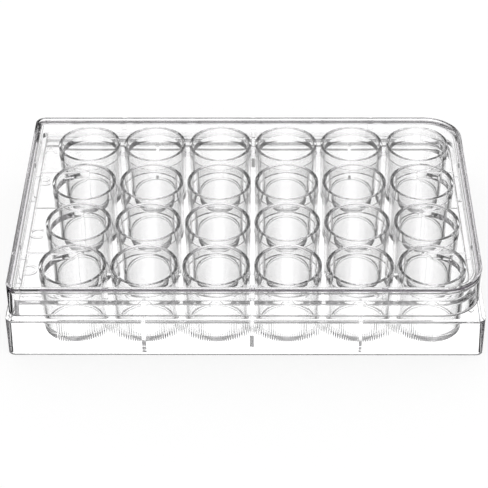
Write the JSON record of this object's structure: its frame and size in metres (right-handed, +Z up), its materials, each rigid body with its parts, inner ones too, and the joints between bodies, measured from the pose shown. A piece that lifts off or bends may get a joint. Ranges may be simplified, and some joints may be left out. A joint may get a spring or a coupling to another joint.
{
  "type": "well plate",
  "caption": "Clear flanged culture plate, a grid of flat-floored round wells under a loose recessed lid.",
  "frame": {"origin": "middle of the rectangle that the plate's flange stands on", "axes": "+X along the rows towards the lid's two round corners, +Y towards row A at the back, +Z up"},
  "size_m": [0.1278, 0.0854, 0.0214],
  "materials": {
    "plate_plastic": "clear polished polystyrene",
    "lid_plastic": "clear polished polystyrene"
  },
  "bodies": {
    "root": {"plate": "plate_plastic", "lid": "lid_plastic"}
  },
  "joints": []
}
